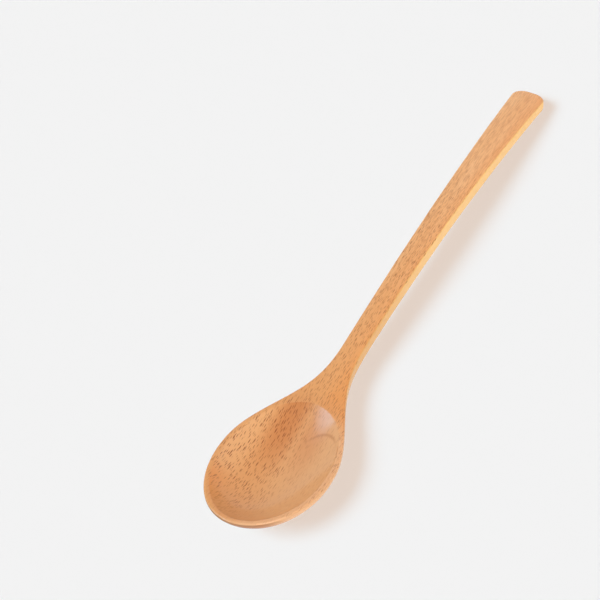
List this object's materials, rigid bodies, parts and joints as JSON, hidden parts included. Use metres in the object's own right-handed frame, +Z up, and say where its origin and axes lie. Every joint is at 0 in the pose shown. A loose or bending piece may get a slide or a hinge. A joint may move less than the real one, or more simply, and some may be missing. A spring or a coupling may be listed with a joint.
{
  "type": "wooden spoon",
  "caption": "Long-handled wooden spoon with a shallow oval bowl, a slim neck and a gently arched handle that flares to a blunt end with rounded corners.",
  "frame": {"origin": "on the table, under the middle of the spoon's length and width", "axes": "+Z up, +Y along the spoon from the bowl to the handle's end, +X across to the right"},
  "size_m": [0.0414, 0.24, 0.0167],
  "materials": {
    "beech": "oiled, satin"
  },
  "bodies": {
    "root": {"spoon": "beech"}
  },
  "joints": []
}
